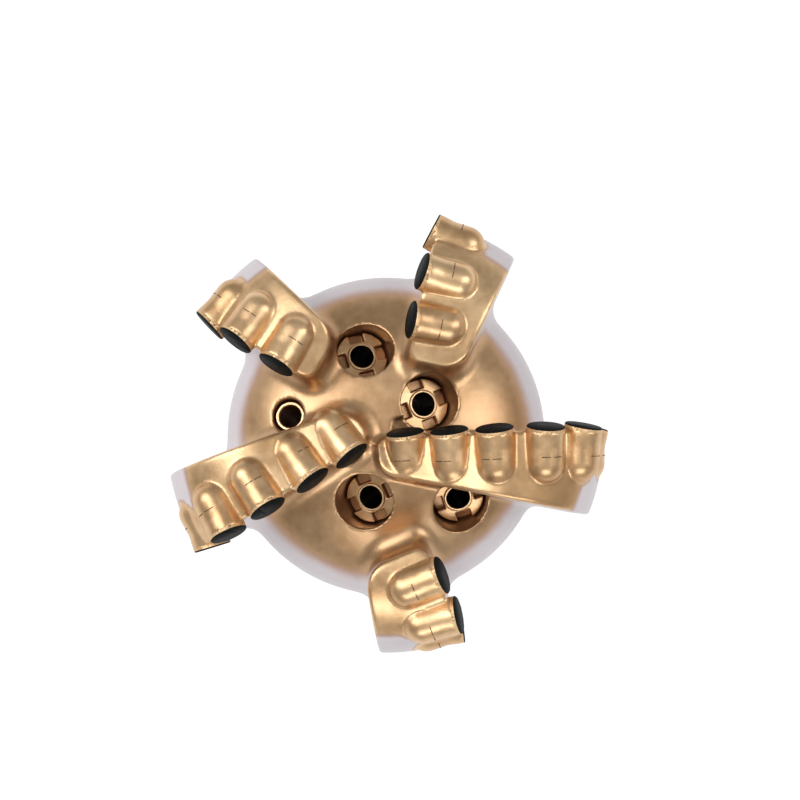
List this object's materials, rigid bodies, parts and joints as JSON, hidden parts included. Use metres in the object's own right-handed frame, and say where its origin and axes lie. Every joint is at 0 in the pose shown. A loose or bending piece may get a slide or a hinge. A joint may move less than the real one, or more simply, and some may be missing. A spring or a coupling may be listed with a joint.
{
  "type": "pdc drill bit",
  "caption": "Steel-body PDC drill bit with curved-nose blades, brazed diamond cutters, screw-in jet nozzles and a tapered API pin with a welded shank",
  "frame": {"origin": "centre of the pin's end face, on the bit's axis", "axes": "+Z along the axis from the pin to the cutting face; +X along the longest blade, about 2 degrees from its cutter line; +Y toward the side its cutters face"},
  "size_m": [0.1864, 0.1851, 0.3231],
  "materials": {
    "crown_paint": "metallic gold spray paint, satin gloss, over machined steel",
    "shank_paint": "pale silver paint",
    "weld_paint": "pale silver paint over weld metal",
    "painted_carbide": "metallic gold spray paint over ground tungsten carbide",
    "diamond": "lapped black polycrystalline diamond",
    "painted_sleeve": "metallic gold spray paint over steel",
    "nozzle_carbide": "ground tungsten carbide",
    "seal": "nitrile rubber"
  },
  "bodies": {
    "root": {"bit_body": "crown_paint", "cutter_a_1_substrate": "painted_carbide", "cutter_a_1_table": "diamond", "cutter_a_2_substrate": "painted_carbide", "cutter_a_2_table": "diamond", "cutter_a_3_substrate": "painted_carbide", "cutter_a_3_table": "diamond", "cutter_b_1_substrate": "painted_carbide", "cutter_b_1_table": "diamond", "cutter_b_2_substrate": "painted_carbide", "cutter_b_2_table": "diamond", "cutter_b_3_substrate": "painted_carbide", "cutter_b_3_table": "diamond", "cutter_c_1_substrate": "painted_carbide", "cutter_c_1_table": "diamond", "cutter_c_2_substrate": "painted_carbide", "cutter_c_2_table": "diamond", "cutter_c_3_substrate": "painted_carbide", "cutter_c_3_table": "diamond", "cutter_c_4_substrate": "painted_carbide", "cutter_c_4_table": "diamond", "cutter_c_5_substrate": "painted_carbide", "cutter_c_5_table": "diamond", "cutter_c_6_substrate": "painted_carbide", "cutter_c_6_table": "diamond", "cutter_d_1_substrate": "painted_carbide", "cutter_d_1_table": "diamond", "cutter_d_2_substrate": "painted_carbide", "cutter_d_2_table": "diamond", "cutter_d_3_substrate": "painted_carbide", "cutter_d_3_table": "diamond", "cutter_e_1_substrate": "painted_carbide", "cutter_e_1_table": "diamond", "cutter_e_2_substrate": "painted_carbide", "cutter_e_2_table": "diamond", "cutter_e_3_substrate": "painted_carbide", "cutter_e_3_table": "diamond", "cutter_e_4_substrate": "painted_carbide", "cutter_e_4_table": "diamond", "cutter_e_5_substrate": "painted_carbide", "cutter_e_5_table": "diamond", "nozzle_ab_orifice": "nozzle_carbide", "nozzle_ab_seal": "seal", "nozzle_ab_sleeve": "painted_sleeve", "nozzle_bc_orifice": "nozzle_carbide", "nozzle_bc_seal": "seal", "nozzle_bc_sleeve": "painted_sleeve", "nozzle_cd_orifice": "nozzle_carbide", "nozzle_cd_seal": "seal", "nozzle_cd_sleeve": "painted_sleeve", "nozzle_de_orifice": "nozzle_carbide", "nozzle_de_seal": "seal", "nozzle_de_sleeve": "painted_sleeve", "port_ea_sleeve": "painted_sleeve", "shank": "shank_paint", "shank_weld": "weld_paint"}
  },
  "joints": []
}
